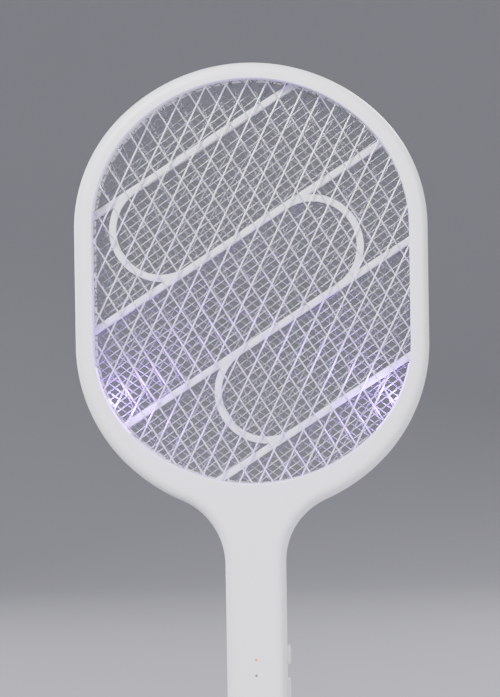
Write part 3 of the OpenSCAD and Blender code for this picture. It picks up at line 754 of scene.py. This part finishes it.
def uTurn(place, row, y, thick):
    # half a ring of the ribs' own section
    centre = ribPoint(place, row * ribs["pitch"])
    radius = ribs["pitch"] / 2
    start = math.radians(ribs["angle"] + (90 if place < 0 else -90))
    at = centre + radius * Vector((math.cos(start), 0, math.sin(start)))
    thin = thick - 0.16 * mm    # just under the bars, so that no two faces share a plane
    bar = block("turn", (at.x, y, at.z), (0.2 * mm, thin, ribs["width"]), -(start - math.pi / 2))
    bpy.ops.object.mode_set(mode="EDIT")
    bpy.ops.mesh.select_mode(type="FACE")
    bpy.ops.mesh.select_all(action="DESELECT")
    bpy.ops.object.mode_set(mode="OBJECT")
    ahead = Vector((-math.sin(start), 0, math.cos(start)))
    for face in bar.data.polygons:
        face.select = face.normal.dot(ahead) > 0.9
    bpy.ops.object.mode_set(mode="EDIT")
    turn((centre.x, 0, centre.z), 180, 48)
    bpy.ops.object.mode_set(mode="OBJECT")
    roundEdges(bar, ribs["round"])
    return bar


def ringSection(side):
    near, far, wide = ribs["near"], ribs["far"], ribs["ring"]
    soft = 0.4 * mm
    drawLine((0, 0, wide - soft))
    drawLine((0, side * soft, soft))
    drawLine((0, side * (far - near - 2 * soft), 0))
    drawLine((0, side * soft, -soft))
    drawLine((0, 0, soft - wide))
    drawLine((0, -side * (far - near), 0))


def ribRing(side):
    start = (0, side * ribs["near"], openLowZ - ribs["ring"])
    piece = sweptHalf("ring", start, side, ringSection, sweepOpening)
    bpy.ops.object.mode_set(mode="EDIT")
    endPiece(piece)
    return piece


ribFrame("front_ribs", -1, True, "front_rib_frame")
ribFrame("rear_ribs", 1, False, "rear_rib_frame")
print("rib frames made")


def cap(name, zRange, node):
    # the part of a control that stands in its window, with a soft rim, and the flange behind it
    low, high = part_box(node)
    flangeOut = outline["handleHalf"] - shell["wall"] - controls["gap"]
    deep = outline["handleHalf"] + controls["proud"] - flangeOut
    centre = (flangeOut + deep / 2, 0, sum(zRange) / 2)
    piece = pill(name, centre, (deep, controls["width"], zRange[1] - zRange[0]))
    bpy.ops.object.mode_set(mode="EDIT")
    bpy.ops.mesh.select_mode(type="FACE")
    bpy.ops.mesh.select_all(action="DESELECT")
    bpy.ops.object.mode_set(mode="OBJECT")
    for face in piece.data.polygons:
        face.select = face.normal.x > 0.9
    bpy.ops.object.mode_set(mode="EDIT")
    bpy.ops.mesh.bevel(offset=controls["softRim"], segments=4, affect="EDGES")
    bpy.ops.object.mode_set(mode="OBJECT")
    flangeIn = flangeOut - controls["flange"]
    flange = block("flange", ((flangeIn + flangeOut) / 2, 0, (low.z + high.z) / 2),
                   (controls["flange"] + 0.02 * mm, high.y - low.y, high.z - low.z))
    roundEdges(flange, 0.25 * mm, 2)
    cut(piece, [flange], "UNION")
    return piece


def ridge(z):
    thick = controls["ridge"]
    wide = controls["width"] - 2 * controls["ridgeInset"]
    bar = block("ridge", (outline["handleHalf"] + controls["proud"], 0, z), (thick, wide, thick))
    roundEdges(bar, 0.35 * thick)
    return bar


def modeKnob():
    middle = sum(controls["knobZ"]) / 2
    piece = cap("mode_knob", controls["knobZ"], "mode_switch_knob")
    ridges = [ridge(middle + controls["ridgePitch"] * i) for i in (-1, 0, 1)]
    joined(ridges + [piece])
    smooth(piece, 40)
    return finishPiece(piece, "mode_slider", controlWhite, "control_plastic", "mode_switch_knob")


def triggerButton():
    piece = cap("trigger_cap", controls["buttonZ"], "trigger_button")
    smooth(piece, 40)
    return finishPiece(piece, "trigger", controlWhite, "control_plastic", "trigger_button")


modeKnob()
triggerButton()
print("controls made")


def lightPipe(name, z, finish):
    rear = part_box("indicator_pipes")[1].y
    inside = shell["wall"] - halfDepth
    piece = rod(name, (0, (rear + inside) / 2, z), indicators["pipe"], rear - inside - indicators["fit"])
    # half the section of a low dome, from its top to the pipe
    radius, proud = indicators["tip"], indicators["proud"]
    tip = startPiece("tip", (0, -halfDepth - proud, z))
    drawLine((radius * 0.45, 0.04 * mm, 0))
    drawLine((radius * 0.35, 0.12 * mm, 0))
    drawLine((radius * 0.2, proud - 0.16 * mm, 0))
    drawLine((0, shell["wall"] + 0.2 * mm, 0))
    drawLine((-radius, 0, 0))
    bpy.ops.mesh.select_all(action="SELECT")
    turn((0, 0, z), 360, 32)
    endPiece(tip, 50)
    cut(piece, [tip], "UNION")
    smooth(piece, 50)
    return finishPiece(piece, "swatter", finish, "light_pipe", "indicator_pipes")


redGlow = glowing("redIndicator", (0.85, 0.10, 0.07), (1.0, 0.05, 0.03), 1.6)
greyLens = glossy("greyIndicator", (0.16, 0.16, 0.19), (0.11, 0.11, 0.14), 0.15)
lightPipe("power_light_pipe", indicators["z"][0], redGlow)
lightPipe("charge_light_pipe", indicators["z"][1], greyLens)
print("light pipes made")


def returnSpring():
    # a copy of the trigger spring's coil, merged and smoothed, with a mesh of its own
    source = nodes["trigger_spring"]
    piece = bpy.data.objects.new("return_spring", source.data.copy())
    bpy.context.scene.collection.objects.link(piece)
    bpy.ops.object.select_all(action="DESELECT")
    piece.select_set(True)
    bpy.context.view_layer.objects.active = piece
    bpy.ops.object.mode_set(mode="EDIT")
    endPiece(piece, 60)
    finishPiece(piece, "swatter", slotFinish["steel"], "steel", "trigger_spring")
    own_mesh(piece)
    return piece


returnSpring()
print("spring made")

# finishes on the parts that keep their own shape
slotOf = {}
for row in frame["record"]["subparts"]:
    slotOf[row["node"]] = row["material_slot"]
for name, node in nodes.items():
    finish = nodeFinish.get(name) or slotFinish[slotOf[name]]
    if not node.material_slots:
        node.data.materials.append(finish)
    for place in node.material_slots:
        place.link = "OBJECT"
        place.material = finish
print("finishes given")

studio = {
    "paper": (0.31, 0.31, 0.34),
    "radius": 3.4,       # of the round floor, which curves up into a wall all round
    "curve": 1.4,
    "height": 4.5,
    "world": (0.86, 0.86, 0.92),
    "worldStrength": 0.44,
    "lights": [              # name, place, size and power
        ("key", (-0.9, -1.3, 1.5), 0.7, 84),
        ("fill", (1.5, -1.1, 0.6), 1.0, 30),
        ("back", (0.9, 1.5, 1.4), 0.8, 40),
        ("backFill", (-1.3, 1.2, 0.5), 1.0, 18),
    ],
}


def addFloor():
    ground = cadBox[0][2] - 0.0005
    radius, curve = studio["radius"], studio["curve"]
    floor = startPiece("floor", (0, 0, ground))
    drawLine((radius - curve, 0, 0))
    turn((radius - curve, 0, ground + curve), 90, 16)
    drawLine((0, 0, studio["height"] - curve))
    bpy.ops.mesh.select_mode(type="EDGE")
    bpy.ops.mesh.select_all(action="SELECT")
    turn((0, 0, 0), 360, 96, (0, 0, 1))
    endPiece(floor, 60)
    f = Finish("floorPaper")
    cloud = f.noise(0.4, 2)
    base = studio["paper"]
    paper = f.paint(Base_Color=f.blend(cloud, rgb(*base), rgb(*[0.97 * c for c in base])), Roughness=0.85)
    floor.data.materials.append(paper)


def addLight(name, at, size, power):
    data = bpy.data.lights.new(name, "AREA")
    data.shape = "DISK"
    data.size = size
    data.energy = power
    light = bpy.data.objects.new(name, data)
    bpy.context.scene.collection.objects.link(light)
    light.location = at
    light.rotation_mode = "QUATERNION"
    light.rotation_quaternion = (Vector((0, 0, 0.3)) - Vector(at)).to_track_quat("-Z", "Y")


glow = {
    "power": 0.36,
    "colour": (0.30, 0.03, 1.0),
    "long": 42 * mm,
    "wide": 3.5 * mm,
    "inset": 1.4 * mm,       # from the window's face into the opening
}


def addLampGlow(left):
    # the violet light that each lamp window throws over the lower part of the nets
    middle = math.radians((lamps["from"] + lamps["to"]) / 2)
    toWindow = Vector((math.cos(middle), 0, math.sin(middle)))
    at = lamps["centre"] + toWindow * (lamps["radius"] - glow["inset"])
    data = bpy.data.lights.new("lampGlow", "AREA")
    data.shape = "RECTANGLE"
    data.size = glow["long"]
    data.size_y = glow["wide"]
    data.energy = glow["power"]
    data.color = glow["colour"]
    light = bpy.data.objects.new("lampGlow", data)
    bpy.context.scene.collection.objects.link(light)
    mirror = -1 if left else 1
    light.location = (mirror * at.x, -sum(lamps["depth"]) / 2, at.z)
    light.rotation_mode = "QUATERNION"
    light.rotation_quaternion = Vector((-mirror * toWindow.x, 0.1, -toWindow.z)).to_track_quat("-Z", "Y")


def addWorld():
    world = bpy.data.worlds.new("studio")
    world.use_nodes = True
    backdrop = world.node_tree.nodes["Background"]
    backdrop.inputs["Color"].default_value = rgb(*studio["world"])
    backdrop.inputs["Strength"].default_value = studio["worldStrength"]
    bpy.context.scene.world = world


addFloor()
addWorld()
for light in studio["lights"]:
    addLight(*light)
addLampGlow(False)
addLampGlow(True)
print("studio made")
